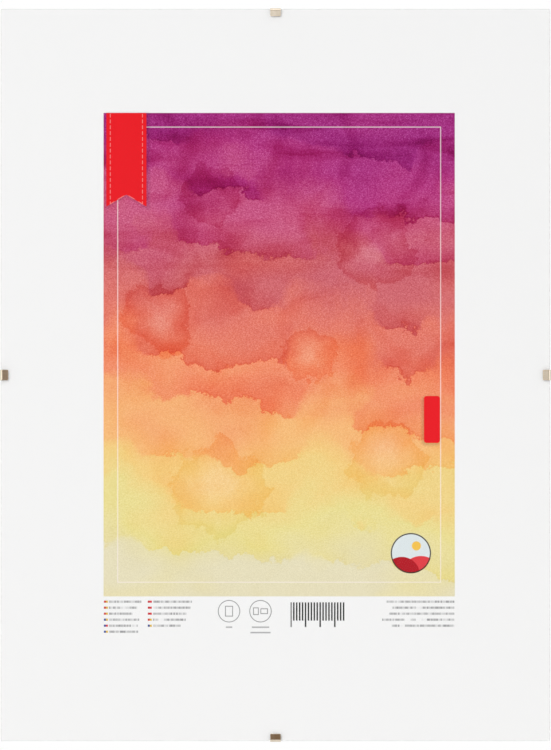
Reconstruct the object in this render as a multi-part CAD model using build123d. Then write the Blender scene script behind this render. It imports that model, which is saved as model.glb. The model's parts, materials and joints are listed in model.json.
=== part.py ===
from build123d import *
import os

# A frameless clip frame: a glass pane, a printed sheet and a hardboard back, held together by four
# spring-steel clips that slide outwards in slots, with two riveted keyhole hangers on the back.
# Millimetres. X is across, Z is up, and Y runs from the viewer towards the wall. The origin is the
# centre of the upright hanger's keyhole, on the wall.

# Glass pane
glass_width = 600.0
glass_height = 800.0
glass_thickness = 2.0
glass_arris = 0.4

# Printed sheet, a little smaller than the glass on every side, with a film of air before it
insert_thickness = 0.25
insert_margin = 0.5
glass_gap = 0.1

# Hardboard back, also a little smaller than the glass
board_thickness = 3.0
board_margin = 0.5

# Spring clips: one strip bent into a sloping lip, a web, a bowed arm and a lug
clip_width = 11.5
clip_sheet = 0.6
clip_bend = 0.7
lip_bend = 1.8
lip_reach = 8.0
lip_lift = 0.9
lip_gap = 0.1
lip_corner = 1.3
edge_gap = 0.4
arm_reach = 32.0
arm_bow = 1.4
arm_gap = 0.2
crest_bend = 60.0
lug_gap = 0.8
slot_gap = 0.3

# How far past the glass edge a clip's lip comes when the clip is pulled right out
lip_release = 2.0

# Keyhole hangers: pressed plates with a raised bridge between two riveted ears
hanger_inset = 62.0
hanger_sheet = 1.0
hanger_bend = 0.8
bridge_length = 22.0
joggle_run = 2.6
ear_length = 10.0
ear_corner = 3.0
head_room = 2.6
keyhole_radius = 4.0
keyhole_rim = 3.5
keyslot_width = 4.0
keyslot_reach = 7.0

# Rivets: a flat head sunk in the front of the board, and a rolled rim on the ear
rivet_radius = 1.6
rivet_gap = 0.1
flat_head_radius = 3.2
flat_head_height = 0.7
flat_head_sink = 0.1
rolled_head_radius = 2.8
rolled_head_height = 0.9
rolled_lip_height = 0.4
rivet_bore_radius = 0.9
rivet_bore_depth = 1.5

# Depths of the layers, counted from the wall
board_back = -(head_room + hanger_sheet)
board_front = board_back - board_thickness
insert_front = board_front - insert_thickness
glass_back = insert_front - glass_gap
glass_front = glass_back - glass_thickness

# The middle of the glass, below the upright hanger, and the way from the viewer to the wall
middle_z = hanger_inset - glass_height / 2
rear = Vector(0, 1, 0)

# For each clip: the way it slides out, and how far the glass edge lies from the middle
sides = {
    "top": (Vector(0, 0, 1), glass_height / 2),
    "bottom": (Vector(0, 0, -1), glass_height / 2),
    "left": (Vector(-1, 0, 0), glass_width / 2),
    "right": (Vector(1, 0, 0), glass_width / 2),
}

# For each hanger: the edge that is uppermost when the frame hangs from it
hanger_sides = {"portrait": "top", "landscape": "right"}

# The lug has to run this far in its slot before the lip is clear of the glass
clip_travel = lip_reach + lip_release


def edge_plane(side):
    """The plane at the middle of one glass edge: its x runs outwards, its y towards the wall."""
    outward, reach = sides[side]
    return Plane(Vector(0, 0, middle_z) + outward * reach, x_dir=outward, z_dir=outward.cross(rear))


def hanger_plane(side):
    """The plane at a keyhole's centre: its z runs to the frame's upper edge, its y towards the wall."""
    outward, reach = sides[side]
    centre = Vector(0, 0, middle_z) + outward * (reach - hanger_inset)
    return Plane(centre, x_dir=rear.cross(outward), z_dir=outward)


def slab(width, height, front, back):
    """A flat rectangular layer between two depths, centred on the middle of the glass."""
    return Pos(0, (front + back) / 2, middle_z) * Box(width, back - front, height)


def parallel(path, distance):
    """The path moved to its right-hand side, with its corners mitred."""
    runs = [(end - start).normalized() for start, end in zip(path, path[1:])]
    rights = [Vector(run.Y, -run.X) for run in runs]
    moved = [path[0] + rights[0] * distance]
    for corner, before, after in zip(path[1:], rights, rights[1:]):
        moved.append(corner + (before + after) * (distance / (1 + before.dot(after))))
    moved.append(path[-1] + rights[-1] * distance)
    return moved


def bent_strip(path, near_bends, far_bends, sheet):
    """The section of a bent strip: one face follows the path, the other lies a sheet to its right."""
    near = FilletPolyline(*path, radius=near_bends)
    far = FilletPolyline(*parallel(path, sheet), radius=far_bends)
    ends = [Line(near @ 0, far @ 0), Line(near @ 1, far @ 1)]
    return make_face(near.edges() + far.edges() + ends)


def clip():
    """A spring clip about the middle of a glass edge, with x outwards and y towards the wall."""
    lip_tip = Vector(-lip_reach, glass_front - lip_gap)
    lip_root = Vector(edge_gap, glass_front - lip_lift)
    heel = Vector(edge_gap, board_back + arm_gap)
    crest = Vector(-arm_reach / 2, board_back + arm_bow)
    lug_root = Vector(-arm_reach, board_back + arm_gap)
    lug_tip = Vector(-arm_reach, board_front + lug_gap)
    inner_bends = [lip_bend, clip_bend, crest_bend, clip_bend]
    outer_bends = [bend + clip_sheet for bend in inner_bends]
    path = [lip_tip, lip_root, heel, crest, lug_root, lug_tip]
    section = bent_strip(path, inner_bends, outer_bends, clip_sheet)
    strip = extrude(section, amount=clip_width / 2, both=True)
    lip_run = lip_root - lip_tip
    lip_ends = strip.edges().filter_by(Axis((0, 0, 0), (lip_run.Y, -lip_run.X, 0)))
    return fillet(lip_ends, lip_corner)


def lug_slot():
    """The slot for a clip's lug, as long as the lug and its travel, in the clip's own plane."""
    inner = -(arm_reach + clip_sheet + slot_gap)
    outer = -(arm_reach - clip_travel - slot_gap)
    middle = Pos((inner + outer) / 2, (board_front + board_back) / 2, 0)
    return middle * Box(outer - inner, 2 * board_thickness, clip_width + 2 * slot_gap)


def keyhole():
    """The keyhole's outline: a round hole for the nail's head with a narrow slot above it."""
    slot = Pos(0, keyslot_reach / 2) * Rectangle(keyslot_width, keyslot_reach)
    slot_end = Pos(0, keyslot_reach) * Circle(keyslot_width / 2)
    return Circle(keyhole_radius) + slot + slot_end


# The plate's lower and upper edges, counted from the keyhole's centre, and the middle of its height
plate_low = -(keyhole_radius + keyhole_rim)
plate_high = keyslot_reach + keyslot_width / 2 + keyhole_rim
plate_middle = (plate_low + plate_high) / 2
ear_start = bridge_length / 2 + joggle_run
ear_middle = ear_start + ear_length / 2
rivet_places = [Pos(x, 0, plate_middle) for x in (-ear_middle, ear_middle)]


def hanger():
    """A keyhole hanger about its keyhole's centre: ears on the board, bridge against the wall."""
    bridge_front = board_back + head_room
    half = [
        Vector(bridge_length / 2, bridge_front),
        Vector(ear_start, board_back),
        Vector(ear_start + ear_length, board_back),
    ]
    path = half[::-1] + [Vector(-point.X, point.Y) for point in half]
    inside = hanger_bend
    outside = hanger_bend + hanger_sheet
    front_bends = [outside, inside, inside, outside]
    back_bends = [inside, outside, outside, inside]
    section = bent_strip(path, front_bends, back_bends, hanger_sheet)
    plate = Pos(0, 0, plate_middle) * extrude(section, amount=(plate_high - plate_low) / 2, both=True)
    plate = fillet(plate.edges().filter_by(Axis.Y), ear_corner)
    return plate - extrude(Plane.XZ * keyhole(), amount=head_room + hanger_sheet, both=True)


def rivet():
    """A rivet on the depth axis: its radius is x and its depth is y, turned about that axis."""
    flat_front = board_front + flat_head_sink
    flat_back = flat_front + flat_head_height
    ear_back = board_back + hanger_sheet
    lip_back = ear_back + rolled_lip_height
    roll = ((rolled_head_radius + rivet_bore_radius) / 2, ear_back + rolled_head_height)
    shank = Polyline(
        (rivet_bore_radius, lip_back),
        (rivet_bore_radius, lip_back - rivet_bore_depth),
        (0, lip_back - rivet_bore_depth),
        (0, flat_front),
        (flat_head_radius, flat_front),
        (flat_head_radius, flat_back),
        (rivet_radius, flat_back),
        (rivet_radius, ear_back),
        (rolled_head_radius, ear_back),
    )
    rolled_rim = ThreePointArc((rolled_head_radius, ear_back), roll, (rivet_bore_radius, lip_back))
    return revolve(make_face(shank.edges() + [rolled_rim]), Axis.Y)


def rivet_hole():
    """The hole for a rivet's shank through board and ear, with a sunk seat for its flat head."""
    seat_depth = flat_head_sink + flat_head_height
    shank = Cylinder(rivet_radius + rivet_gap, 2 * (board_thickness + hanger_sheet))
    seat = Cylinder(flat_head_radius + rivet_gap, 2 * seat_depth)
    along_depth = Plane((0, board_front, 0), z_dir=rear).location
    return along_depth * (shank + seat)


rivet_cuts = [place * rivet_hole() for place in rivet_places]
rivets = [place * rivet() for place in rivet_places]
hanger_planes = {way: hanger_plane(side) for way, side in hanger_sides.items()}

glass = slab(glass_width, glass_height, glass_front, glass_back)
glass_pane = chamfer(glass.edges(), glass_arris)

insert_width = glass_width - 2 * insert_margin
insert_height = glass_height - 2 * insert_margin
printed_insert = slab(insert_width, insert_height, insert_front, board_front)

board_width = glass_width - 2 * board_margin
board_height = glass_height - 2 * board_margin
backing_board = slab(board_width, board_height, board_front, board_back)
for side in sides:
    backing_board -= edge_plane(side).location * lug_slot()
for plane in hanger_planes.values():
    backing_board -= [plane.location * cut for cut in rivet_cuts]

pieces = {"glass_pane": glass_pane, "printed_insert": printed_insert, "backing_board": backing_board}
for side in sides:
    pieces["clip_" + side] = edge_plane(side).location * clip()
for way, plane in hanger_planes.items():
    pieces["hanger_" + way] = plane.location * (hanger() - rivet_cuts)
    pieces["rivets_" + way] = Compound([plane.location * one for one in rivets])

os.makedirs("parts", exist_ok=True)
for name, piece in pieces.items():
    export_step(piece, "parts/" + name + ".step")
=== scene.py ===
import bmesh
import bpy
import functools
import json
import math
import mathutils
import numpy as np
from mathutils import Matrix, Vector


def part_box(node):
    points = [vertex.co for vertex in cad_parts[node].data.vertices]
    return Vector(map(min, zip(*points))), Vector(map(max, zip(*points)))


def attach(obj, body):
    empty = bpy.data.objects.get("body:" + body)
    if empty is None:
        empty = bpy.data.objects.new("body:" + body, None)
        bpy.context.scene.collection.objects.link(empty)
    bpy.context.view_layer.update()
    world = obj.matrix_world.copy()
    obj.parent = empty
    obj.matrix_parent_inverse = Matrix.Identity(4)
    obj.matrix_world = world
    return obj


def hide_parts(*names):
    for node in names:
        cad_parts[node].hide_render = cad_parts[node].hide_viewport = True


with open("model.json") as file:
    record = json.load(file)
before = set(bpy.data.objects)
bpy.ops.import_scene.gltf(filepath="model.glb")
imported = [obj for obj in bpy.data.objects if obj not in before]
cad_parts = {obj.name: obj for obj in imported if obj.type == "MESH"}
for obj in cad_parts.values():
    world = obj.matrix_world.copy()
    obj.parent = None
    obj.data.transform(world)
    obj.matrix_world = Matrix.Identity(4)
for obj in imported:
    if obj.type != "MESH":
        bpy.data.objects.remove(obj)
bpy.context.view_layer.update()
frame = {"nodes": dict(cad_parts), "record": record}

# Backing board: a sheet of brown hardboard, wood fibre pressed hot against a wire screen, sawn to the
# size of the picture and punched with a slot for each clip. Everything else is stacked or riveted on it.
# MM is a millimetre in the scene's metres: all sizes here are written in millimetres.
MM = 0.001
board_clump = 38.0
board_fibre = 4.0
board_fleck = 1.6
# A real screen has a mark every 1.2 mm, too fine to show here, so it is drawn coarser.
board_screen = 3.4
board_screen_depth = 0.2
# How much the clumps weigh in the colour, and the fibres in the relief.
clump_weight = 0.55
fibre_weight = 1.4


def linear(colour):
    """The linear red, green, blue and alpha of an sRGB colour written in hex, by the sRGB curve."""
    srgb = np.array([int(colour[at:at + 2], 16) for at in (1, 3, 5)]) / 255
    light = np.where(srgb <= 0.04045, srgb / 12.92, ((srgb + 0.055) / 1.055) ** 2.4)
    return (*light.tolist(), 1.0)


def add(tree, kind, *inputs, **settings):
    """Adds a node with these settings, and these links, values or hex colours on its inputs, by name in a
    dict or else in their order, which for MapRange is a value, its start and end, and what these become.
    Gives the node's first output."""
    made = tree.nodes.new("ShaderNode" + kind)
    for name, value in settings.items():
        setattr(made, name, value)
    named = inputs[0] if inputs and isinstance(inputs[0], dict) else dict(enumerate(inputs))
    for name, value in named.items():
        if isinstance(value, bpy.types.NodeSocket):
            tree.links.new(value, made.inputs[name])
        else:
            made.inputs[name].default_value = linear(value) if isinstance(value, str) else value
    return next((socket for socket in made.outputs if not socket.is_unavailable), None)


def new_material(name):
    """An empty material of this name, and the function that adds nodes to it."""
    material = bpy.data.materials.new(name)
    material.use_nodes = True
    material.node_tree.nodes.clear()
    return material, functools.partial(add, material.node_tree)


def millimetres(node):
    """A point's Object coordinates, turned from metres into millimetres."""
    coordinates = node("TexCoord").node.outputs["Object"]
    return node("Mapping", {"Vector": coordinates, "Scale": (1 / MM, 1 / MM, 1 / MM)})


def facing_wall(node):
    """How squarely a surface faces the wall: its normal's part along Y, -1 on the front and 1 behind."""
    normal = node("NewGeometry").node.outputs["Normal"]
    return node("SeparateXYZ", normal).node.outputs["Y"]


def hardboard():
    """Raw hardboard: felted brown fibres with dark flecks, and the screen's marks on its rear face, high
    and low by turns as the product of two sine waves, with painted shade that darkens the low marks."""
    material, node = new_material("Hardboard")
    spot = millimetres(node)
    clump = node("TexNoise", {"Vector": spot, "Scale": 1 / board_clump, "Detail": 3.0})
    fibre = node("TexNoise", {
        "Vector": spot, "Scale": 1 / board_fibre, "Detail": 4.0, "Roughness": 0.62, "Distortion": 0.8})
    fleck = node("TexNoise", {"Vector": spot, "Scale": 1 / board_fleck, "Detail": 2.0})
    tone = node("Math", clump, clump_weight, fibre, operation="MULTIPLY_ADD")
    brown = node("MapRange", tone, 0.5, 1.05)
    colour = node("Mix", {0: brown, 6: "#6A4A30", 7: "#977351"}, data_type="RGBA")
    dark = node("MapRange", fleck, 0.62, 0.74, 0.0, 0.55)
    colour = node("Mix", {0: dark, 6: colour, 7: "#3F2A1B"}, data_type="RGBA")
    pale = node("MapRange", fleck, 0.38, 0.28, 0.0, 0.3)
    colour = node("Mix", {0: pale, 6: colour, 7: "#B9956C"}, data_type="RGBA")
    turned = node("VectorMath", {0: spot, "Scale": 2 * math.pi / board_screen}, operation="SCALE")
    wires = node("SeparateXYZ", turned).node.outputs
    warp = node("Math", wires["X"], operation="SINE")
    weft = node("Math", wires["Z"], operation="SINE")
    screen = node("Math", warp, weft, operation="MULTIPLY")
    rear_face = node("MapRange", facing_wall(node), 0.6, 0.9)
    pressed = node("Math", screen, rear_face, operation="MULTIPLY")
    # Painted shade: the screen's low marks are darkened towards dark brown, as if shadowed in their
    # hollows.
    deep = node("MapRange", pressed, 0.0, -1.0, 0.0, 0.3)
    colour = node("Mix", {0: deep, 6: colour, 7: "#4A3220"}, data_type="RGBA")
    relief = node("Math", fibre, fibre_weight, pressed, operation="MULTIPLY_ADD")
    bump = node("Bump", {"Height": relief, "Strength": 0.8, "Distance": board_screen_depth * MM})
    rough = node("MapRange", fibre, 0.0, 1.0, 0.62, 0.86)
    shader = node("BsdfPrincipled", {
        "Base Color": colour, "Roughness": rough, "IOR": 1.5, "Specular IOR Level": 0.35, "Normal": bump})
    node("OutputMaterial", {"Surface": shader})
    return material


board_materials = frame["nodes"]["backing_board"].data.materials
board_materials.clear()
board_materials.append(hardboard())

# Keyhole hangers: pressed plates of zinc-plated steel, whose bridge stands off the board between two
# flat ears, so that a nail's head can pass through the keyhole and slip behind its slot.
hanger_sheet = 1.0
hanger_bend = 0.8
hanger_edge = 0.2
bridge_half = 11.0
bridge_front = -hanger_sheet
ear_start = 13.6
ear_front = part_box("hanger_portrait")[0][1] / MM
plate_half = 23.6
plate_low = -7.5
plate_high = 12.5
plate_corner = 3.0
keyhole_radius = 4.0
keyslot_half = 2.0
keyslot_reach = 7.0
hanger_spokes = 360
hanger_rows = 56
rim_steps = 4
zinc_spangle = 6.0
zinc_scratch = 0.5
zinc_scratch_depth = 0.05
# A scratch's width as a share of its length, and what stands for a sine or cosine of 0 that divides.
zinc_scratch_share = 0.06
least_divisor = 1e-6
rear = np.array([0.0, 1.0, 0.0])
hanger_ups = {"portrait": np.array([0.0, 0.0, 1.0]), "landscape": np.array([1.0, 0.0, 0.0])}
mounts = {mount["name"]: np.array(mount["pos_m"]) / MM for mount in frame["record"]["mounts"]}
keyholes = {way: mounts[way + "_keyhole"] * (1, 0, 1) for way in hanger_ups}


def bent_path(corners, bends, steps=10):
    """Straight runs joined by arcs. Each arc starts its radius times the tangent of half the turn before
    the corner, and lies about a centre on the corner's bisector. Gives the points and their tangents."""
    corners = np.array(corners, float)
    runs = np.diff(corners, axis=0)
    runs /= np.linalg.norm(runs, axis=1)[:, None]
    points, tangents = [corners[:1]], [runs[:1]]
    for corner, before, after, bend in zip(corners[1:-1], runs, runs[1:], bends):
        along = (before + after) / np.linalg.norm(before + after)
        inside = (after - before) / np.linalg.norm(after - before)
        half_turn = math.acos(np.clip(before @ along, -1, 1))
        centre = corner + inside * bend / math.cos(half_turn)
        turn = np.linspace(-half_turn, half_turn, steps + 1)[:, None]
        points.append(centre + bend * (along * np.sin(turn) - inside * np.cos(turn)))
        tangents.append(along * np.cos(turn) + inside * np.sin(turn))
    points.append(corners[-1:])
    tangents.append(runs[-1:])
    return np.vstack(points), np.vstack(tangents)


def skin(name, stacks, materials, joined=False):
    """A closed mesh over stacks of closed rings of points, in millimetres: each four neighbours make a
    face. A stack's last ring is joined to its first, or else its first and last rings are filled."""
    count, size = stacks.shape[1:3]
    index = np.arange(stacks.size // 3).reshape(-1, count, size)
    rows = np.concatenate([index, index[:, :1]], axis=1) if joined else index
    beside = np.roll(rows, -1, axis=2)
    quads = np.stack([rows[:, :-1], beside[:, :-1], beside[:, 1:], rows[:, 1:]], axis=-1)
    faces = quads.reshape(-1, 4).tolist()
    if not joined:
        faces += index[:, 0].tolist() + index[:, -1].tolist()
    mesh = bpy.data.meshes.new(name)
    mesh.from_pydata((stacks.reshape(-1, 3) * MM).tolist(), [], faces)
    shell = bmesh.new()
    shell.from_mesh(mesh)
    bmesh.ops.recalc_face_normals(shell, faces=shell.faces)
    shell.to_mesh(mesh)
    shell.free()
    mesh.shade_smooth()
    piece = bpy.data.objects.new(name, mesh)
    bpy.context.scene.collection.objects.link(piece)
    for material in materials:
        mesh.materials.append(material)
    weighted = piece.modifiers.new("even shading", "WEIGHTED_NORMAL")
    weighted.weight = 100
    weighted.keep_sharp = True
    return piece


def keyhole_edge(sine, cosine):
    """How far a keyhole's edge lies from its centre, by the angle from straight up: the hole's radius,
    or in the slot the distance to its straight side or, past the sides' end, to its round end."""
    side = keyslot_half / np.maximum(np.abs(sine), least_divisor)
    end = keyslot_reach * cosine + np.sqrt(np.maximum(keyslot_half ** 2 - (keyslot_reach * sine) ** 2, 0))
    slot = np.where(side * cosine <= keyslot_reach, side, end)
    in_slot = (cosine > 0) & (np.abs(sine) * keyhole_radius < keyslot_half)
    return np.where(in_slot, slot, keyhole_radius)


def plate_edge(sine, cosine):
    """How far a plate's edge lies from the keyhole's centre, by the angle from straight up: the nearer of
    its side and its upper or lower edge, or near a corner the far crossing of the corner's circle."""
    height = np.where(cosine > 0, plate_high, -plate_low)
    sine, cosine = np.abs(sine), np.abs(cosine)
    to_side = plate_half / np.maximum(sine, least_divisor)
    straight = np.minimum(to_side, height / np.maximum(cosine, least_divisor))
    flat_half, flat_height = plate_half - plate_corner, height - plate_corner
    at_corner = (sine * straight > flat_half) & (cosine * straight > flat_height)
    along = sine * flat_half + cosine * flat_height
    off = flat_half ** 2 + flat_height ** 2
    round_edge = along + np.sqrt(np.maximum(plate_corner ** 2 - off + along ** 2, 0))
    return np.where(at_corner, round_edge, straight)


def hanger_rings():
    """A hanger about its keyhole: rings between the keyhole's edge and the plate's, with both rims
    rounded, lifted over the bent section. Columns are across, towards the wall, and up."""
    angle = np.linspace(0, 2 * math.pi, hanger_spokes, endpoint=False)
    sine, cosine = np.sin(angle), np.cos(angle)
    flat_inner = keyhole_edge(sine, cosine) + hanger_edge
    flat_outer = plate_edge(sine, cosine) - hanger_edge
    share = np.linspace(0, 1, hanger_rows)
    lean = np.linspace(0, math.pi / 2, rim_steps + 1)[1:-1]
    # Each row of the loop: its share of the way out, its overhang past the flat faces, and its depth.
    rim = np.concatenate([np.sin(lean), [1, 1], np.sin(lean[::-1])])
    rim_fall = hanger_edge * (1 - np.cos(lean))
    rim_depth = np.concatenate([
        rim_fall, [hanger_edge, hanger_sheet - hanger_edge], hanger_sheet - rim_fall[::-1]])
    ways = np.concatenate([share, np.ones(len(rim)), share[::-1], np.zeros(len(rim))])
    over = np.concatenate([share * 0, rim, share * 0, -rim]) * hanger_edge
    depth = np.concatenate([share * 0, rim_depth, share * 0 + hanger_sheet, rim_depth[::-1]])
    reach = flat_inner + (flat_outer - flat_inner) * ways[:, None] + over[:, None]
    across, up = reach * sine, reach * cosine
    section = [
        (0, bridge_front), (bridge_half, bridge_front), (ear_start, ear_front), (plate_half, ear_front)]
    line, tangent = bent_path(section, (hanger_bend, hanger_bend + hanger_sheet))
    side = np.abs(across)
    front = np.interp(side, line[:, 0], line[:, 1])
    slope_x = np.interp(side, line[:, 0], tangent[:, 0])
    slope_y = np.interp(side, line[:, 0], tangent[:, 1])
    return np.stack([
        across - np.sign(across) * slope_y * depth[:, None], front + slope_x * depth[:, None], up], axis=-1)


def zinc_plate(name, bright, dull):
    """Zinc plate on pressed steel: cloudy spangles, lighter and shinier by turns, and fine scratches."""
    material, node = new_material(name)
    spot = millimetres(node)
    spangle = node("TexVoronoi", {"Vector": spot, "Scale": 1 / zinc_spangle}, feature="SMOOTH_F1")
    cloud = node("TexNoise", {"Vector": spot, "Scale": 0.4 / zinc_spangle, "Detail": 4.0})
    mix = node("Math", spangle, 0.5, cloud, operation="MULTIPLY_ADD")
    share = node("MapRange", mix, 0.45, 0.95)
    colour = node("Mix", {0: share, 6: bright, 7: dull}, data_type="RGBA")
    long_spot = node("VectorMath", spot, (zinc_scratch_share, 1.0, 1.0), operation="MULTIPLY")
    scratch = node("TexNoise", {"Vector": long_spot, "Scale": 1 / zinc_scratch, "Detail": 2.0})
    rough = node("MapRange", mix, 0.4, 1.0, 0.3, 0.5)
    bump = node("Bump", {"Height": scratch, "Strength": 0.12, "Distance": zinc_scratch_depth * MM})
    shader = node("BsdfPrincipled", {
        "Base Color": colour, "Metallic": 1.0, "Roughness": rough, "Normal": bump})
    node("OutputMaterial", {"Surface": shader})
    return material


hanger_zinc = zinc_plate("Zinc-plated pressed steel", "#D3D6D8", "#AEB3B7")
rings = hanger_rings()
for way, up in hanger_ups.items():
    axes = np.array([np.cross(rear, up), rear, up])
    placed = rings @ axes + keyholes[way]
    plate = skin("keyhole_hanger_" + way, placed[None], [hanger_zinc], joined=True)
    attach(plate, "panel")
    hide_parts("hanger_" + way)

# Rivets: zinc-plated steel tubes with a flat head sunk in the front of the board. The tool that sets
# them rolls the tube's end over on the ear, which leaves a round rim about an open bore.
rivet_radius = 1.6
flat_head_radius = 3.2
flat_head_height = 0.7
rolled_rim_radius = 2.8
rolled_rim_height = 0.9
rivet_bore_radius = 0.9
rivet_bore_depth = 3.2
# The outline starts and ends this far from the axis, and its corners have these bends.
rivet_core = 0.05
rivet_bends = (0.2, 0.2, 0.1, 0.1, 0.05, 0.75, 0.85, 0.3)
rivet_spokes = 48
ear_back = ear_front + hanger_sheet
ear_middle = (ear_start + plate_half) / 2
rivet_up = (plate_low + plate_high) / 2
rivet_zinc = zinc_plate("Zinc-plated rivet steel", "#C9CBCC", "#9EA3A7")


def rivet_rings(front):
    """A rivet about its axis: its outline, from the flat head's middle to the bottom of the bore, turned
    through a full circle. Columns are across, towards the wall, and up."""
    head_back = front + flat_head_height
    rim_back = ear_back + rolled_rim_height
    bore_end = rim_back - rivet_bore_depth
    outline = [
        (rivet_core, front), (flat_head_radius, front), (flat_head_radius, head_back),
        (rivet_radius, head_back), (rivet_radius, ear_back), (rolled_rim_radius, ear_back),
        (rolled_rim_radius, rim_back), (rivet_bore_radius, rim_back), (rivet_bore_radius, bore_end),
        (rivet_core, bore_end)]
    line = bent_path(outline, rivet_bends, steps=6)[0]
    angle = np.linspace(0, 2 * math.pi, rivet_spokes, endpoint=False)
    radius, depth = line[:, :1], line[:, 1:]
    return np.stack([radius * np.cos(angle), depth + 0 * angle, radius * np.sin(angle)], axis=-1)


for way, up in hanger_ups.items():
    along = np.cross(rear, up)
    rings = rivet_rings(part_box("rivets_" + way)[0][1] / MM)
    places = [keyholes[way] + along * side * ear_middle + up * rivet_up for side in (-1, 1)]
    pair = skin("rivet_pair_" + way, np.stack([rings + place for place in places]), [rivet_zinc])
    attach(pair, "panel")
    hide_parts("rivets_" + way)

# Printed insert: a sheet of matt coated paper the size of the picture, printed in offset with a sample
# picture, a watercolour wash from violet to pale yellow, and small marks below it. It lies on the board.
sheet_low, sheet_high = (np.array(corner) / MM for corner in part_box("printed_insert"))
sheet_middle = (sheet_low + sheet_high) / 2
panel_low, panel_high = np.array([-188.0, -242.0]), np.array([196.0, 286.5])
# The part of the sheet that holds all the print, a little more than the picture and the marks.
cell_low, cell_high = panel_low - (14.0, 46.0), panel_high + (4.0, 4.0)
paper_white = "#F6F6F6"
keyline_inset = 15.0
keyline_width = 1.0
ribbon_x = -163.0
ribbon_tail = 184.0
ribbon_half = 22.0
ribbon_notch = 13.0
ribbon_corner = 1.0
ribbon_shadow = (1.5, -1.5)
seam_inset = 4.0
seam_width = 0.8
stitch_pitch = 6.4
stitch_share = 0.62
stitch_margin = 0.5
tab_middle = np.array([171.0, -48.6])
tab_size = (17.5, 51.4)
tab_corner = 3.0
tab_shadow = (-1.2, -1.8)
roundel_middle = np.array([148.0, -194.8])
roundel_radius = 22.0
roundel_line = 1.3
# The sun and the two hills: how far across and up from the middle, the radius, and the colour.
roundel_discs = [
    (6.0, 8.0, 5.0, "#F6C554"), (11.0, -25.0, 22.0, "#E2434A"), (-10.0, -24.0, 20.0, "#B51F2A")]
print_top = -246.6
row_pitch = 6.56
row_height = 2.4
row_shortest = 0.65
word_length = 6.0
letter_length = 1.5
# Each block of small print: whether it is counted from the right, its edge there, its width and its rows.
print_blocks = [(False, -182.0, 38.0, 6), (False, -134.0, 46.0, 5), (True, -195.5, 80.0, 5)]
chip_length = 4.4
chip_chance = 0.6
# Each column of chips: its left edge and its rows.
chip_columns = [(-187.6, 6), (-139.6, 5)]
ring_places = (-50.8, -16.4)
ring_up = -258.2
ring_radius = 12.1
ring_line = 0.7
# Each page in the rings: its place across and its size. Each rule below: its place, its drop and its width.
ring_pages = [(-50.8, (8.5, 11.5)), (-21.4, (6.0, 8.0)), (-12.4, (8.0, 6.0))]
ring_rules = [(-50.8, 17.5, 7.0), (-16.4, 17.5, 19.0), (-16.4, 23.4, 22.0)]
rule_height = 1.5
scale_middle = (46.0, -262.0)
scale_size = (59.0, 27.0)
tick_pitch = 3.2
tick_share = 0.52
# Ticks are counted from far to the left. Every fifth one is long, and the others are this much shorter.
tick_start = 100.0
tick_group = 5.0
tick_short = 7.0
# The sizes of the wash's patterns: its clouds, the paper's grain, blots and streaks of pigment, the frayed
# edges, and how far apart an edge sways and stays wet.
wash_cloud = 90.0
wash_grain = 1.1
wash_blot = 60.0
wash_streak = 20.0
wash_fray = 26.0
wash_sway = 150.0
wash_wet = 95.0
# Each band of the wash: the height of its lower edge as a share of the picture's, how far that edge slopes
# and sways, how far the palette jumps there, and how much pigment gathers along it.
wash_bands = [
    (0.915, 0.030, 0.06, 0.055, 0.50),
    (0.815, 0.050, 0.07, 0.065, 0.75),
    (0.700, 0.020, 0.06, 0.075, 0.65),
    (0.590, 0.055, 0.07, 0.085, 0.70),
    (0.480, 0.030, 0.06, 0.085, 0.60),
    (0.375, 0.050, 0.07, 0.070, 0.45),
    (0.270, 0.020, 0.06, 0.060, 0.40),
    (0.170, 0.045, 0.07, 0.055, 0.35),
    (0.075, 0.030, 0.05, 0.050, 0.30),
]
# How far each band's own patterns lie from the last one's, and how much the edges of bands and blooms fray.
band_step = 900.0
wet_step = 5.0
band_fray = 0.11
bloom_fray = 1.5
# Each bloom: its middle across and up, and its radius.
wash_blooms = [
    (-70.0, 196.0, 34.0), (112.0, 138.0, 46.0), (-128.0, 62.0, 40.0), (36.0, 20.0, 30.0),
    (120.0, -92.0, 44.0), (-62.0, -124.0, 52.0),
]
wash_palette = [
    (0.00, "#E8E0BE"), (0.10, "#ECDF96"), (0.20, "#F5D084"), (0.31, "#F8B97A"), (0.42, "#F3906B"),
    (0.54, "#E57B6B"), (0.68, "#CF6872"), (0.80, "#CA5A84"), (0.90, "#B63C82"), (1.00, "#A33080"),
]


def sheet_rings():
    """The sheet as level rings round its two faces, from its lower edge to its upper one, with lines
    along the printed cell's borders, so that its map can give that cell more room."""
    lines_x = np.array([sheet_low[0], cell_low[0], cell_high[0], sheet_high[0]])
    cell_z = sheet_middle[2] + np.array([cell_low[1], cell_high[1]])
    lines_z = np.array([sheet_low[2], *cell_z, sheet_high[2]])
    across = np.concatenate([lines_x, lines_x[::-1]])
    depth = np.repeat([sheet_low[1], sheet_high[1]], len(lines_x))
    return np.stack(np.broadcast_arrays(across, depth, lines_z[:, None]), axis=-1)


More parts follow.
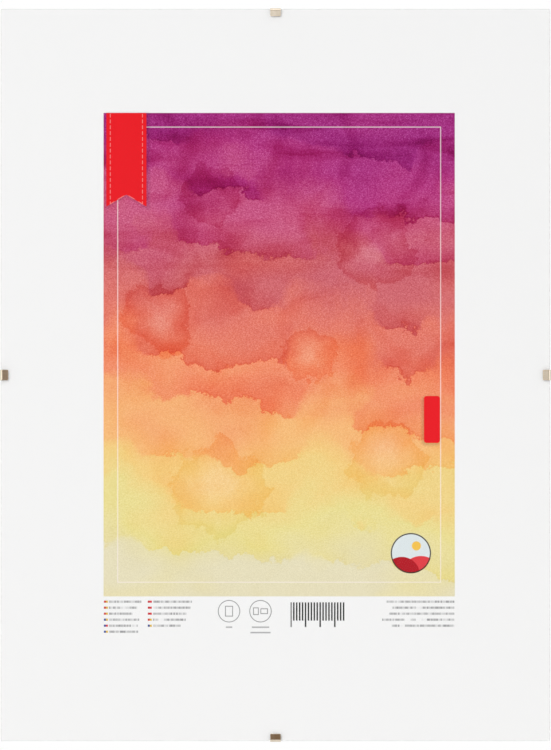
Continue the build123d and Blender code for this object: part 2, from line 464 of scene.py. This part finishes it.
def sheet_map(sheet, rings):
    """Gives the sheet its map: the printed cell fills the left of it, the rest of the front and the back
    have a quarter each on the right, and the thin rims have strips between these."""
    corners = np.empty(len(sheet.data.loops), np.int32)
    sheet.data.loops.foreach_get("vertex_index", corners)
    sides = np.empty(len(sheet.data.polygons), np.int32)
    sheet.data.polygons.foreach_get("loop_total", sides)
    printed, front, back, right, left, low, high = range(7)
    kinds = np.repeat([[front] * 3 + [right] + [back] * 3 + [left]], 3, axis=0)
    kinds[1, 1] = printed
    kind = np.repeat(np.append(kinds.ravel(), [low, high]), sides)
    # Each kind's room on the map, in the order above: from and to across, then from and to upwards.
    room = np.array([
        (0.010, 0.700, 0.010, 0.990), (0.720, 0.990, 0.510, 0.990), (0.720, 0.990, 0.010, 0.470),
        (0.702, 0.706, 0.010, 0.990), (0.712, 0.716, 0.010, 0.990),
        (0.720, 0.990, 0.475, 0.483), (0.720, 0.990, 0.490, 0.498)])[kind]
    is_printed = (kind == printed)[:, None]
    lowest = np.where(is_printed, rings[1, 1], sheet_low)
    highest = np.where(is_printed, rings[2, 2], sheet_high)
    share = (rings.reshape(-1, 3)[corners] - lowest) / np.where(highest > lowest, highest - lowest, 1)
    across = np.where(np.isin(kind, (right, left)), share[:, 1], share[:, 0])
    up = np.where(np.isin(kind, (low, high)), share[:, 1], share[:, 2])
    spread = np.stack([room[:, 0] + (room[:, 1] - room[:, 0]) * across,
                       room[:, 2] + (room[:, 3] - room[:, 2]) * up], axis=-1)
    sheet.data.uv_layers.new(name="OFBake").data.foreach_set("uv", spread.ravel())


def printed_wash(node, spot, along):
    """A watercolour wash laid in level brush bands: the palette is read by height, which jumps at each
    band's ragged lower edge. The pigment's density is the power that the colour is raised to: it gathers
    in the paper's grain, along crisp edges, and at the rims of blooms, where water pushed it aside."""
    share = node("MapRange", along["Z"], panel_low[1], panel_high[1], clamp=False)
    tone = node("Math", share, 1 - sum(band[3] for band in wash_bands), operation="MULTIPLY")
    wide = node("VectorMath", spot, (0.6, 1.0, 1.0), operation="MULTIPLY")
    cloud = node("TexNoise", {"Vector": wide, "Scale": 1 / wash_cloud, "Detail": 2.0})
    cloud = node("Math", cloud, 0.5, operation="SUBTRACT")
    tone = node("Math", cloud, 0.3, tone, operation="MULTIPLY_ADD")
    grain_spot = node("VectorMath", spot, (0.75, 1.0, 1.0), operation="MULTIPLY")
    grain = node("TexNoise", {
        "Vector": grain_spot, "Scale": 1 / wash_grain, "Detail": 2.0, "Roughness": 0.6})
    speckle = node("Math", grain, 0.5, operation="SUBTRACT")
    coarse = node("MapRange", share, 0.0, 1.0, 0.45, 1.55)
    pigment = node("Math", speckle, coarse, 1.0, operation="MULTIPLY_ADD")
    blot = node("TexNoise", {"Vector": spot, "Scale": 1 / wash_blot, "Detail": 2.0, "Distortion": 0.6})
    blot = node("MapRange", blot, 0.48, 0.75, 0.0, 0.5)
    at_top = node("MapRange", share, 0.2, 0.8, 0.2)
    pigment = node("Math", blot, at_top, pigment, operation="MULTIPLY_ADD")
    long_spot = node("VectorMath", spot, (0.14, 1.0, 1.0), operation="MULTIPLY")
    streak = node("TexNoise", {
        "Vector": long_spot, "Scale": 1 / wash_streak, "Detail": 3.0, "Distortion": 0.6})
    streak = node("MapRange", streak, 0.5, 0.75, 0.0, 0.6)
    at_top = node("MapRange", share, 0.6, 0.95)
    pigment = node("Math", streak, at_top, pigment, operation="MULTIPLY_ADD")
    fray = node("TexNoise", {"Vector": spot, "Scale": 1 / wash_fray, "Detail": 7.0, "Roughness": 0.66})
    fray = node("Math", fray, 0.5, operation="SUBTRACT")
    for number, (level, slope, sway, jump, rim) in enumerate(wash_bands):
        track = node("CombineXYZ", {"X": along["X"], "Y": band_step * number})
        drift = node("TexNoise", {
            "Vector": track, "Scale": 1 / wash_sway, "Detail": 2.0}, noise_dimensions="2D")
        wet = node("TexNoise", {
            "Vector": spot, "W": wet_step * number, "Scale": 1 / wash_wet, "Detail": 1.0},
            noise_dimensions="4D")
        above = node("Math", drift, 2 * sway, share, operation="MULTIPLY_ADD")
        above = node("Math", fray, band_fray, above, operation="MULTIPLY_ADD")
        above = node("Math", along["X"], slope / panel_high[0], above, operation="MULTIPLY_ADD")
        above = node("Math", above, level + sway, operation="SUBTRACT")
        soft = node("MapRange", wet, 0.45, 0.62, 0.004, 0.12, interpolation_type="SMOOTHSTEP")
        cover = node("MapRange", above, 0.0, soft, interpolation_type="SMOOTHSTEP")
        tone = node("Math", cover, jump, tone, operation="MULTIPLY_ADD")
        crisp = node("MapRange", soft, 0.0, 0.06, rim, 0.0)
        near, fade = (
            node("MapRange", above, 0.0, width, most, 0.0, interpolation_type="SMOOTHSTEP")
            for width, most in ((0.01, 0.65), (0.06, 0.35)))
        near = node("Math", near, fade, operation="ADD")
        line = node("Math", near, crisp, operation="MULTIPLY")
        pigment = node("Math", line, cover, pigment, operation="MULTIPLY_ADD")
    for x, z, radius in wash_blooms:
        away = node("VectorMath", spot, (x, 0.0, z), operation="DISTANCE")
        away = node("Math", away, 1 / radius, operation="MULTIPLY")
        away = node("Math", fray, bloom_fray, away, operation="MULTIPLY_ADD")
        within = node("MapRange", away, 1.0, 0.95)
        lift = node("MapRange", away, 0.2, 1.0, -0.16, 0.3)
        pigment = node("Math", within, lift, pigment, operation="MULTIPLY_ADD")
    palette = node("ValToRGB", tone).node
    stops = palette.color_ramp.elements
    while len(stops) < len(wash_palette):
        stops.new(0.5)
    for stop, (place, colour) in zip(stops, wash_palette):
        stop.position = place
        stop.color = linear(colour)
    colour = node("Gamma", palette.outputs[0], pigment)
    tooth = node("MapRange", grain, 0.2, 0.8, 1.06, 0.94, clamp=False)
    return node("VectorMath", {0: colour, "Scale": tooth}, operation="SCALE")


def edge_distance(node, spot, middle, size, corner):
    """Millimetres outside a rounded rectangle, negative inside it: a point's overshoot past the rectangle
    made smaller by its corner radius, or inside that the way to its nearest side, less the radius."""
    offset = node("VectorMath", spot, (middle[0], 0.0, middle[1]), operation="SUBTRACT")
    offset = node("VectorMath", offset, operation="ABSOLUTE")
    any_depth = 1000.0
    flat = (size[0] / 2 - corner, any_depth, size[1] / 2 - corner)
    over = node("VectorMath", offset, flat, operation="SUBTRACT")
    sides = node("SeparateXYZ", over).node.outputs
    nearest = node("Math", sides["X"], sides["Z"], operation="MAXIMUM")
    within = node("Math", nearest, 0.0, operation="MINIMUM")
    outside = node("VectorMath", over, (0.0, 0.0, 0.0), operation="MAXIMUM")
    outside = node("VectorMath", outside, operation="LENGTH")
    distance = node("Math", outside, within, operation="ADD")
    return node("Math", distance, corner, operation="SUBTRACT")


def circle_distance(node, spot, middle, radius):
    """Millimetres outside a circle, as a square whose corners are as round as they can be."""
    return edge_distance(node, spot, middle, (2 * radius, 2 * radius), radius)


def outline(node, distance, width):
    """Turns the distance to a shape's edge into the distance to a line of this width inside that edge."""
    centred = node("Math", distance, width / 2, operation="ADD")
    away = node("Math", centred, operation="ABSOLUTE")
    return node("Math", away, width / 2, operation="SUBTRACT")


def lay_ink(node, below, ink, distance, strength=1.0, soft=0.3):
    """Prints an ink, a colour or another socket, where the distance to a shape's edge is negative."""
    inside = node("MapRange", distance, soft, -soft, 0.0, strength)
    return node("Mix", {0: inside, 6: below, 7: ink}, data_type="RGBA")


def ribbon_and_tab(node, colour, spot, along):
    """A red bookmark ribbon with a notched tail and two stitched seams, and a plain red tab, each with a
    soft printed shadow. The notch is a slope that rises from the tail's two points to its middle."""
    red, seam, shade = "#EB1E27", "#F78E8C", "#3A0E1C"
    size = (2 * ribbon_half, panel_high[1] - ribbon_tail)
    middle = np.array([ribbon_x, (panel_high[1] + ribbon_tail) / 2])
    shadow = edge_distance(node, spot, middle + ribbon_shadow, size, ribbon_corner)
    body = edge_distance(node, spot, middle, size, ribbon_corner)
    aside = node("Math", along["X"], ribbon_x, operation="SUBTRACT")
    aside = node("Math", aside, operation="ABSOLUTE")
    slope = -ribbon_notch / ribbon_half
    cut = node("Math", aside, slope, ribbon_tail + ribbon_notch, operation="MULTIPLY_ADD")
    cut = node("Math", cut, along["Z"], operation="SUBTRACT")
    shadow = node("Math", shadow, cut, operation="MAXIMUM")
    colour = lay_ink(node, colour, shade, shadow, strength=0.45, soft=4.0)
    colour = lay_ink(node, colour, red, node("Math", body, cut, operation="MAXIMUM"))
    seams = node("Math", aside, ribbon_half - seam_inset, operation="SUBTRACT")
    seams = outline(node, node("Math", seams, cut, operation="MAXIMUM"), seam_width)
    stitch = node("Math", along["Z"], stitch_pitch, operation="FLOORED_MODULO")
    stitch = node("Math", stitch, stitch_share * stitch_pitch, operation="SUBTRACT")
    stitched = node("Math", seams, stitch, operation="MAXIMUM")
    below_top = node("Math", body, stitch_margin, operation="ADD")
    stitched = node("Math", stitched, below_top, operation="MAXIMUM")
    colour = lay_ink(node, colour, seam, stitched, strength=0.9)
    shadow = edge_distance(node, spot, tab_middle + tab_shadow, tab_size, tab_corner)
    colour = lay_ink(node, colour, shade, shadow, strength=0.4, soft=3.0)
    tab = edge_distance(node, spot, tab_middle, tab_size, tab_corner)
    return lay_ink(node, colour, red, tab)


def roundel(node, colour, spot):
    """A round picture mark: a sun over two hills, inside a dark line."""
    mark = "#DFE8EA"
    for across, up, radius, ink in roundel_discs:
        place = roundel_middle + (across, up)
        mark = lay_ink(node, mark, ink, circle_distance(node, spot, place, radius))
    disc = circle_distance(node, spot, roundel_middle, roundel_radius)
    colour = lay_ink(node, colour, mark, disc)
    return lay_ink(node, colour, "#3B332C", outline(node, disc, roundel_line))


def print_rows(node, up, rows):
    """The number of the row of small print at a point, and 1 where the point lies on one of the rows."""
    down = node("Math", up, -1 / row_pitch, print_top / row_pitch, operation="MULTIPLY_ADD")
    row = node("Math", down, operation="FLOOR")
    within = node("Math", down, row, operation="SUBTRACT")
    mask = node("Math", within, row_height / row_pitch, operation="LESS_THAN")
    off_middle = node("Math", down, rows / 2, operation="SUBTRACT")
    off_middle = node("Math", off_middle, operation="ABSOLUTE")
    in_rows = node("Math", off_middle, rows / 2, operation="LESS_THAN")
    return row, node("Math", mask, in_rows, operation="MULTIPLY")


def colour_chips(node, colour, along, left, rows):
    """Two-tone chips at the head of the rows: each half takes one of two inks, as chance has it."""
    row, mask = print_rows(node, along["Z"], rows)
    reach = node("Math", along["X"], left, operation="SUBTRACT")
    reach = node("Math", reach, 2 / chip_length, operation="MULTIPLY")
    half = node("Math", reach, operation="FLOOR")
    cell = node("CombineXYZ", {"X": half, "Y": row, "Z": left})
    chance = node("TexWhiteNoise", cell, noise_dimensions="3D")
    second = node("Math", chance, chip_chance, operation="GREATER_THAN")
    warm = node("Mix", {0: second, 6: "#C8323A", 7: "#3552A0"}, data_type="RGBA")
    cool = node("Mix", {0: second, 6: "#D8454A", 7: "#E2BC48"}, data_type="RGBA")
    chip = node("Mix", {0: half, 6: warm, 7: cool}, data_type="RGBA")
    aside = node("Math", reach, 1.0, operation="SUBTRACT")
    aside = node("Math", aside, operation="ABSOLUTE")
    on_chip = node("Math", aside, 1.0, operation="LESS_THAN")
    on_chip = node("Math", on_chip, mask, operation="MULTIPLY")
    return node("Mix", {0: on_chip, 6: colour, 7: chip}, data_type="RGBA")


def greeked_rows(node, across, up, left, width, rows):
    """How dark the rows are that stand for small print. A row is cut into words, some of which are left
    out, and letters of random darkness, and it ends at a random share of the width."""
    row, mask = print_rows(node, up, rows)
    reach = node("Math", across, left, operation="SUBTRACT")
    for length, lowest, highest in ((word_length, 0.0, 0.14), (letter_length, -0.4, 1.2)):
        column = node("Math", reach, 1 / length, operation="MULTIPLY")
        column = node("Math", column, operation="FLOOR")
        cell = node("CombineXYZ", {"X": column, "Y": row, "Z": left})
        chance = node("TexWhiteNoise", cell, noise_dimensions="3D")
        dark = node("MapRange", chance, lowest, highest)
        mask = node("Math", mask, dark, operation="MULTIPLY")
    cell = node("CombineXYZ", {"X": left, "Y": row})
    length = node("TexWhiteNoise", cell, noise_dimensions="3D")
    shortest = row_shortest * width
    length = node("Math", length, width - shortest, shortest, operation="MULTIPLY_ADD")
    begun = node("Math", reach, 0.0, operation="GREATER_THAN")
    going = node("Math", reach, length, operation="LESS_THAN")
    mask = node("Math", mask, begun, operation="MULTIPLY")
    return node("Math", mask, going, operation="MULTIPLY")


def fine_print(node, colour, spot, along):
    """The small marks below the picture: greeked rows on both sides, headed by colour chips on the left,
    two ringed pictograms of frames with rules below them, and a plain graduated scale."""
    grey, stroke, dark = "#8A8A8C", "#5E5E60", "#2C2C2E"
    leftwards = node("Math", along["X"], -1.0, operation="MULTIPLY")
    for from_right, left, width, rows in print_blocks:
        across = leftwards if from_right else along["X"]
        mask = greeked_rows(node, across, along["Z"], left, width, rows)
        colour = node("Mix", {0: mask, 6: colour, 7: grey}, data_type="RGBA")
    for left, rows in chip_columns:
        colour = colour_chips(node, colour, along, left, rows)
    rings = [circle_distance(node, spot, (x, ring_up), ring_radius) for x in ring_places]
    pages = [edge_distance(node, spot, (x, ring_up), size, 0.3) for x, size in ring_pages]
    for shape in rings + pages:
        colour = lay_ink(node, colour, stroke, outline(node, shape, ring_line))
    for x, drop, width in ring_rules:
        rule = edge_distance(node, spot, (x, ring_up - drop), (width, rule_height), 0.2)
        colour = lay_ink(node, colour, grey, rule, strength=0.75)
    block = edge_distance(node, spot, scale_middle, scale_size, 0.1)
    count = node("Math", along["X"], 1 / tick_pitch, tick_start, operation="MULTIPLY_ADD")
    tick = node("Math", count, operation="FLOOR")
    beside = node("Math", count, tick, operation="SUBTRACT")
    beside = node("Math", beside, -tick_share, operation="ADD")
    beside = node("Math", beside, tick_pitch, operation="MULTIPLY")
    in_group = node("Math", tick, tick_group, operation="FLOORED_MODULO")
    short = node("Math", in_group, 0.5, operation="GREATER_THAN")
    scale_foot = scale_middle[1] - scale_size[1] / 2
    foot = node("Math", short, tick_short, scale_foot, operation="MULTIPLY_ADD")
    foot = node("Math", foot, along["Z"], operation="SUBTRACT")
    bars = node("Math", block, beside, operation="MAXIMUM")
    bars = node("Math", bars, foot, operation="MAXIMUM")
    return lay_ink(node, colour, dark, bars)


def printed_paper():
    """Offset print on matt coated paper: flat inks that sink in on the front, bare paper on the back and
    the rims, and a faint sheen from the coating."""
    material, node = new_material("Offset print on matt paper")
    middle_spot = tuple(sheet_middle * (1, 0, 1))
    spot = node("VectorMath", millimetres(node), middle_spot, operation="SUBTRACT")
    along = node("SeparateXYZ", spot).node.outputs
    middle, size = (panel_low + panel_high) / 2, panel_high - panel_low
    area = edge_distance(node, spot, middle, size, 0.5)
    colour = lay_ink(node, paper_white, printed_wash(node, spot, along), area)
    border = edge_distance(node, spot, middle, size - 2 * keyline_inset, 0.6)
    colour = lay_ink(node, colour, "#FFF4F2", outline(node, border, keyline_width), strength=0.62)
    colour = ribbon_and_tab(node, colour, spot, along)
    colour = roundel(node, colour, spot)
    colour = fine_print(node, colour, spot, along)
    front = node("Math", facing_wall(node), -0.5, operation="LESS_THAN")
    colour = node("Mix", {0: front, 6: paper_white, 7: colour}, data_type="RGBA")
    shader = node("BsdfPrincipled", {
        "Base Color": colour, "Roughness": 0.7, "IOR": 1.5, "Specular IOR Level": 0.06})
    node("OutputMaterial", {"Surface": shader})
    return material


rings = sheet_rings()
sheet = skin("printed_sheet", rings[None], [printed_paper()])
sheet_map(sheet, rings)
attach(sheet, "panel")
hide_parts("printed_insert")

# Glass pane: 2 mm float glass cut to the picture's size, with its sharp edges ground off by a belt.
# It lies loose on the insert, and only the clips hold it.
glass_low, glass_high = (np.array(corner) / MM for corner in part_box("glass_pane"))
glass_middle, glass_half = (glass_low + glass_high) / 2, (glass_high - glass_low) / 2
glass_arris = 0.4
glass_corner = 1.0
glass_grit = 0.8


def round_rectangle(half_across, half_up, corner, steps):
    """A rectangle with round corners about its middle: each quarter is an arc about the point that lies
    the corner's radius inside two sides. Gives how far across and how far up each point lies."""
    quarters = [np.linspace(0, 90, steps) + start for start in (0, 90, 180, 270)]
    angle = np.radians(np.concatenate(quarters))
    right = np.repeat([1, -1, -1, 1], steps)
    upper = np.repeat([1, 1, -1, -1], steps)
    across = right * (half_across - corner) + corner * np.cos(angle)
    up = upper * (half_up - corner) + corner * np.sin(angle)
    return across, up


def pane_rings():
    """The pane as outlines at four depths: each is a rectangle with small round corners, drawn in by the
    arris at the two faces. Columns are across, towards the wall, and up."""
    inset = np.array([glass_arris, 0, 0, glass_arris])[:, None]
    depth = np.array([glass_low[1], glass_low[1] + glass_arris, glass_high[1] - glass_arris, glass_high[1]])
    across, up = round_rectangle(
        glass_half[0] - inset, glass_half[2] - inset, glass_corner - inset, steps=6)
    points = np.broadcast_arrays(glass_middle[0] + across, depth[:, None], glass_middle[2] + up)
    return np.stack(points, axis=-1)


def let_light_through(material, node, surface):
    """Ends a glass material: rays of light, and those that paper sends out, go straight through it, so
    that what lies behind is lit as if uncovered, and all other rays see its surface."""
    through = node("BsdfTransparent", {"Color": "#FFFFFF"})
    rays = node("LightPath").node.outputs
    lighting = node("Math", rays["Is Shadow Ray"], rays["Is Diffuse Ray"], operation="MAXIMUM")
    node("OutputMaterial", {"Surface": node("MixShader", lighting, surface, through)})
    return material


def float_glass():
    """Clear float glass: mirror-smooth faces that show hardly a reflection from in front."""
    material, node = new_material("Clear float glass")
    clear = node("BsdfPrincipled", {
        "Base Color": "#FFFFFF", "Roughness": 0.0, "IOR": 1.52,
        "Specular Tint": "#5A5A5A", "Transmission Weight": 1.0})
    return let_light_through(material, node, clear)


def ground_edge():
    """A belt-ground glass edge: frosted by the grit, white on the narrow arrises and green on the rim
    between them, from the length of glass behind it. It lets light through to the paper as the faces do."""
    material, node = new_material("Ground glass edge")
    grit = node("TexNoise", {"Vector": millimetres(node), "Scale": 1 / glass_grit, "Detail": 3.0})
    rough = node("MapRange", grit, 0.0, 1.0, 0.35, 0.6)
    facing = node("Math", facing_wall(node), operation="ABSOLUTE")
    arris = node("MapRange", facing, 0.3, 0.6)
    colour = node("Mix", {0: arris, 6: "#C2DDD0", 7: "#E2E6E3"}, data_type="RGBA")
    frosted = node("BsdfPrincipled", {
        "Base Color": colour, "Roughness": rough, "IOR": 1.52, "Transmission Weight": 0.3})
    return let_light_through(material, node, frosted)


pane = skin("glass_sheet", pane_rings()[None], [float_glass(), ground_edge()])
# The two faces are the last that skin makes, and all the others belong to the ground edge.
faces = len(pane.data.polygons)
pane.data.polygons.foreach_set("material_index", (np.arange(faces) < faces - 2).astype(np.int32))
pane.data.shade_flat()
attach(pane, "panel")
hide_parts("glass_pane")

# Spring clips: strips of nickel-plated spring steel, bent cold into a lip that presses on the glass, a
# web round the edge, a bowed arm behind the board and a lug that hooks into the board's slot.
clip_width = 11.5
clip_sheet = 0.6
clip_edge = 0.14
clip_bend = 0.7
lip_bend = 1.8
crest_bend = 60.0
lip_reach = 8.0
lip_lift = 0.9
lip_gap = 0.1
lip_corner = 1.3
lip_round = 0.28
edge_gap = 0.4
arm_reach = 32.0
arm_bow = 1.4
arm_gap = 0.2
lug_gap = 0.8
# The tip's thickness as a share of the strip's, squared, and the steps along the tip and the whole strip.
lip_thinnest = 0.08
tip_steps = 8
clip_stations = 40
nickel_mark = 0.5
nickel_mark_depth = 0.03
nickel_mark_share = 0.05
nickel_cloud = 7.0
board_front, board_back = (corner[1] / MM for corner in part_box("backing_board"))
sides = {"top": (0, 0, 1), "bottom": (0, 0, -1), "left": (-1, 0, 0), "right": (1, 0, 0)}


def clip_rings():
    """A clip about the middle of a glass edge: a rounded flat section carried along the bent strip, drawn
    in to a round corner and a round edge at the lip's tip. Columns are outwards, along and towards the
    wall. Also gives each point's way along the strip and across it, for the rolling marks."""
    line, tangent = bent_path([
        (-lip_reach, glass_low[1] - lip_gap), (edge_gap, glass_low[1] - lip_lift),
        (edge_gap, board_back + arm_gap), (-arm_reach / 2, board_back + arm_bow),
        (-arm_reach, board_back + arm_gap), (-arm_reach, board_front + lug_gap)],
        (lip_bend, clip_bend, crest_bend, clip_bend), steps=12)
    way = np.concatenate([[0], np.cumsum(np.linalg.norm(np.diff(line, axis=0), axis=1))])
    turn = np.linspace(0, math.pi / 2, tip_steps + 1)
    tip = np.concatenate([lip_corner * (1 - np.cos(turn)), lip_round * (1 - np.cos(turn))])
    stations = np.union1d(np.union1d(way, tip), np.linspace(0, way[-1], clip_stations))
    place = np.stack([np.interp(stations, way, line[:, axis]) for axis in (0, 1)], axis=-1)
    heading = np.stack([np.interp(stations, way, tangent[:, axis]) for axis in (0, 1)], axis=-1)
    heading /= np.linalg.norm(heading, axis=1)[:, None]
    outside = np.stack([heading[:, 1], -heading[:, 0]], axis=-1)
    corner = np.sqrt(np.maximum(lip_corner ** 2 - np.maximum(lip_corner - stations, 0) ** 2, 0))
    half = clip_width / 2 - lip_corner + corner
    thin = np.sqrt(np.maximum(1 - np.maximum(1 - stations / lip_round, 0) ** 2, lip_thinnest))
    along, deep = round_rectangle(half[:, None], clip_sheet / 2, clip_edge, steps=5)
    deep = clip_sheet / 2 + deep * thin[:, None]
    outward = place[:, :1] + outside[:, :1] * deep
    depth = place[:, 1:] + outside[:, 1:] * deep
    strip = np.stack(np.broadcast_arrays(stations[:, None], along), axis=-1)
    return np.stack([outward, along, depth], axis=-1), strip


def nickel_plate():
    """Nickel plate on rolled spring steel: warm and bright, with fine marks along the strip."""
    material, node = new_material("Nickel-plated spring steel")
    strip = node("UVMap", uv_map="strip")
    rolled = node("VectorMath", strip, (nickel_mark_share, 1.0, 1.0), operation="MULTIPLY")
    marks = node("TexNoise", {"Vector": rolled, "Scale": 1 / nickel_mark, "Detail": 3.0})
    cloud = node("TexNoise", {"Vector": strip, "Scale": 1 / nickel_cloud, "Detail": 3.0})
    share = node("Math", marks, 0.5, cloud, operation="MULTIPLY_ADD")
    share = node("MapRange", share, 0.5, 1.0)
    colour = node("Mix", {0: share, 6: "#E8DCC9", 7: "#DACDB9"}, data_type="RGBA")
    rough = node("MapRange", share, 0.0, 1.0, 0.1, 0.16)
    bump = node("Bump", {"Height": marks, "Strength": 0.1, "Distance": nickel_mark_depth * MM})
    shader = node("BsdfPrincipled", {
        "Base Color": colour, "Metallic": 1.0, "Roughness": rough, "Normal": bump})
    node("OutputMaterial", {"Surface": shader})
    return material


clip_nickel = nickel_plate()
rings, strip = clip_rings()
for side, outward in sides.items():
    outward = np.array(outward, float)
    edge = (glass_middle + outward * glass_half) * (1, 0, 1)
    axes = np.array([outward, np.cross(outward, rear), rear])
    clip = skin("spring_clip_" + side, (rings @ axes + edge)[None], [clip_nickel])
    corners = np.empty(len(clip.data.loops), np.int32)
    clip.data.loops.foreach_get("vertex_index", corners)
    clip.data.uv_layers.new(name="strip").data.foreach_set("uv", strip.reshape(-1, 2)[corners].ravel())
    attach(clip, side + "_clip")
    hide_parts("clip_" + side)

# Floor and studio: a pale matt floor well below the hanging frame, a large soft lamp high on the left in
# front, a like one behind, and an even white surround.
floor_drop = 320.0
floor_half = 2600.0
floor_fade = (300.0, 0.9 * floor_half)
floor_sides = 96
lamp_ways = {"front lamp": (-0.30, -0.90, 0.36), "rear lamp": (0.5, 0.75, 0.55)}
lamp_reach = 9000.0
lamp_size = 3500.0
lamp_power = 270.0
surround_level = 0.64
# What metal and glass mirror. Ahead of the frame is a brown card that turns white low on the left. Above
# and beside it is white, brighter by a share, and behind the frame grey turns white with height. Each pair
# gives where such a change starts and ends, along the card's own way or along X or Z.
card_way = (-0.36, 0.0, -0.9)
card_fade = (-0.055, 0.08)
above_fade = (0.16, 0.24)
beside_fade = (0.17, 0.25)
behind_fade = (-0.4, 0.5)
white_gain = 0.36
# Only the glass mirrors sharply. It sees all this dimmed, because from the side it would veil the print.
glass_dim = 0.5
white = "#FFFFFF"
scene = bpy.context.scene
scene.view_settings.view_transform = "Standard"


def pale_floor():
    """A pale painted floor that fades to the white surround, so that it has no horizon."""
    material, node = new_material("Pale painted floor")
    paint = node("BsdfDiffuse", {"Color": "#F2F2F1"})
    glow = node("Emission", {"Color": white, "Strength": 1.0})
    far = node("VectorMath", millimetres(node), (1.0, 1.0, 0.0), operation="MULTIPLY")
    far = node("VectorMath", far, operation="LENGTH")
    fade = node("MapRange", far, floor_fade[0], floor_fade[1], 0.5, interpolation_type="SMOOTHSTEP")
    rays = node("LightPath").node.outputs
    seen = node("Math", rays["Is Camera Ray"], rays["Is Glossy Ray"], operation="MAXIMUM")
    seen = node("Math", seen, rays["Is Transmission Ray"], operation="MAXIMUM")
    share = node("Math", fade, seen, operation="MULTIPLY")
    node("OutputMaterial", {"Surface": node("MixShader", share, paint, glow)})
    return material


angle = np.linspace(0, 2 * math.pi, floor_sides, endpoint=False)
floor_z = glass_low[2] - floor_drop
floor_ring = np.stack([
    floor_half * np.cos(angle), floor_half * np.sin(angle), 0 * angle + floor_z], axis=-1)
floor_mesh = bpy.data.meshes.new("floor")
floor_mesh.from_pydata((floor_ring * MM).tolist(), [], [list(range(floor_sides))])
floor_mesh.materials.append(pale_floor())
floor = bpy.data.objects.new("floor", floor_mesh)
scene.collection.objects.link(floor)

for name, direction in lamp_ways.items():
    direction = np.array(direction) / np.linalg.norm(direction)
    lamp = bpy.data.objects.new(name, bpy.data.lights.new(name, "AREA"))
    lamp.data.shape = "DISK"
    lamp.data.size = lamp_size * MM
    lamp.data.energy = lamp_power
    lamp.location = (glass_middle + direction * lamp_reach) * MM
    lamp.rotation_mode = "QUATERNION"
    lamp.rotation_quaternion = mathutils.Vector(direction).to_track_quat("Z", "Y")
    scene.collection.objects.link(lamp)

world = bpy.data.worlds.new("studio")
world.use_nodes = True
scene.world = world
world.node_tree.nodes.clear()
node = functools.partial(add, world.node_tree)
way = node("TexCoord").node.outputs["Generated"]
toward = node("SeparateXYZ", way).node.outputs
low_left = node("VectorMath", way, card_way, operation="DOT_PRODUCT")
aside = node("Math", toward["X"], operation="ABSOLUTE")
card, above, beside, height = (
    node("MapRange", value, start, end)
    for value, (start, end) in (
        (low_left, card_fade), (toward["Z"], above_fade), (aside, beside_fade), (toward["Z"], behind_fade)))
around = node("Math", above, beside, operation="MAXIMUM")
front = node("Mix", {0: card, 6: "#795E42", 7: white}, data_type="RGBA")
front = node("Mix", {0: around, 6: front, 7: white}, data_type="RGBA")
behind = node("Mix", {0: height, 6: "#9E9C99", 7: white}, data_type="RGBA")
is_front = node("Math", toward["Y"], 0.0, operation="LESS_THAN")
mirror = node("Mix", {0: is_front, 6: behind, 7: front}, data_type="RGBA")
rays = node("LightPath").node.outputs
around = node("Math", is_front, around, operation="MULTIPLY")
level = node("Math", around, white_gain, 1.0, operation="MULTIPLY_ADD")
dim = node("MapRange", rays["Is Singular Ray"], 0.0, 1.0, 1.0, glass_dim)
level = node("Math", level, dim, operation="MULTIPLY")
cards = node("Background", {"Color": mirror, "Strength": level})
even = node("Background", {"Color": white, "Strength": surround_level})
mirrored = node("Math", rays["Is Glossy Ray"], rays["Is Transmission Ray"], operation="MAXIMUM")
lit = node("MixShader", mirrored, even, cards)
# Through glass the surround is white too, but not where a surface behind the glass mirrors it.
direct = node("Math", rays["Glossy Depth"], 0.5, operation="LESS_THAN")
through = node("Math", rays["Is Transmission Ray"], direct, operation="MULTIPLY")
seen = node("Math", rays["Is Camera Ray"], through, operation="MAXIMUM")
backdrop = node("Background", {"Color": white, "Strength": 1.0})
node("OutputWorld", {"Surface": node("MixShader", seen, lit, backdrop)})

# Camera: square on to the glass from 4 m, with a long lens that takes in the frame's width.
image_width, image_height = 551, 750
view_width = 602.1
view_reach = 4000.0
camera = bpy.data.objects.new("camera", bpy.data.cameras.new("camera"))
camera.data.lens = camera.data.sensor_width * view_reach / (view_width * image_height / image_width)
camera.location = np.array([glass_middle[0], glass_low[1] - view_reach, glass_middle[2]]) * MM
camera.rotation_euler = (math.radians(90), 0, 0)
camera.data.clip_end = 100
scene.collection.objects.link(camera)
scene.camera = camera
